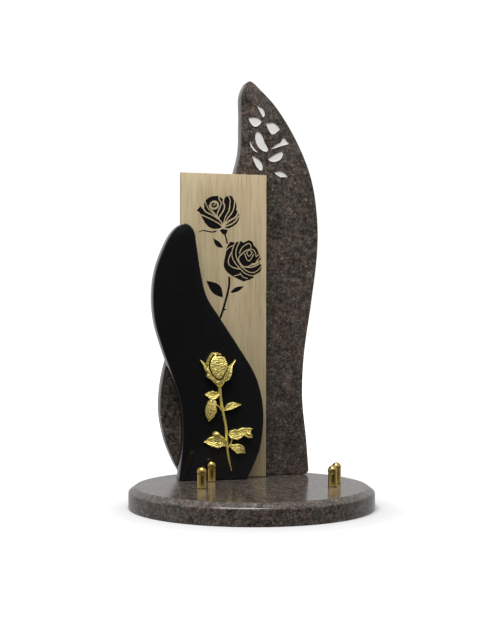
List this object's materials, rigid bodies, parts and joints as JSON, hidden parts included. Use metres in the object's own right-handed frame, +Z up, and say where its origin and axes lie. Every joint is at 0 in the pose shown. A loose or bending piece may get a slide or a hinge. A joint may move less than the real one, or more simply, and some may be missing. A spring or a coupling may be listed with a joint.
{
  "type": "granite memorial plaque",
  "caption": "Memorial plaque with curved granite slabs and an oak panel standing on a round granite base, decorated with roses.",
  "frame": {"origin": "middle of the underside of the round base", "axes": "+Z up, the decorated faces look along -Y, +X to the viewer's right"},
  "size_m": [0.25, 0.25, 0.4427],
  "materials": {
    "brown_granite": "polished",
    "black_granite": "polished",
    "oak": "matt",
    "gilding": "satin",
    "brass": "polished"
  },
  "bodies": {
    "root": {"base_disc": "brown_granite", "tall_slab": "brown_granite", "oak_panel": "oak", "black_slab": "black_granite", "cast_rose": "gilding", "pin_left_front": "brass", "pin_left_back": "brass", "pin_right_front": "brass", "pin_right_back": "brass"}
  },
  "joints": []
}
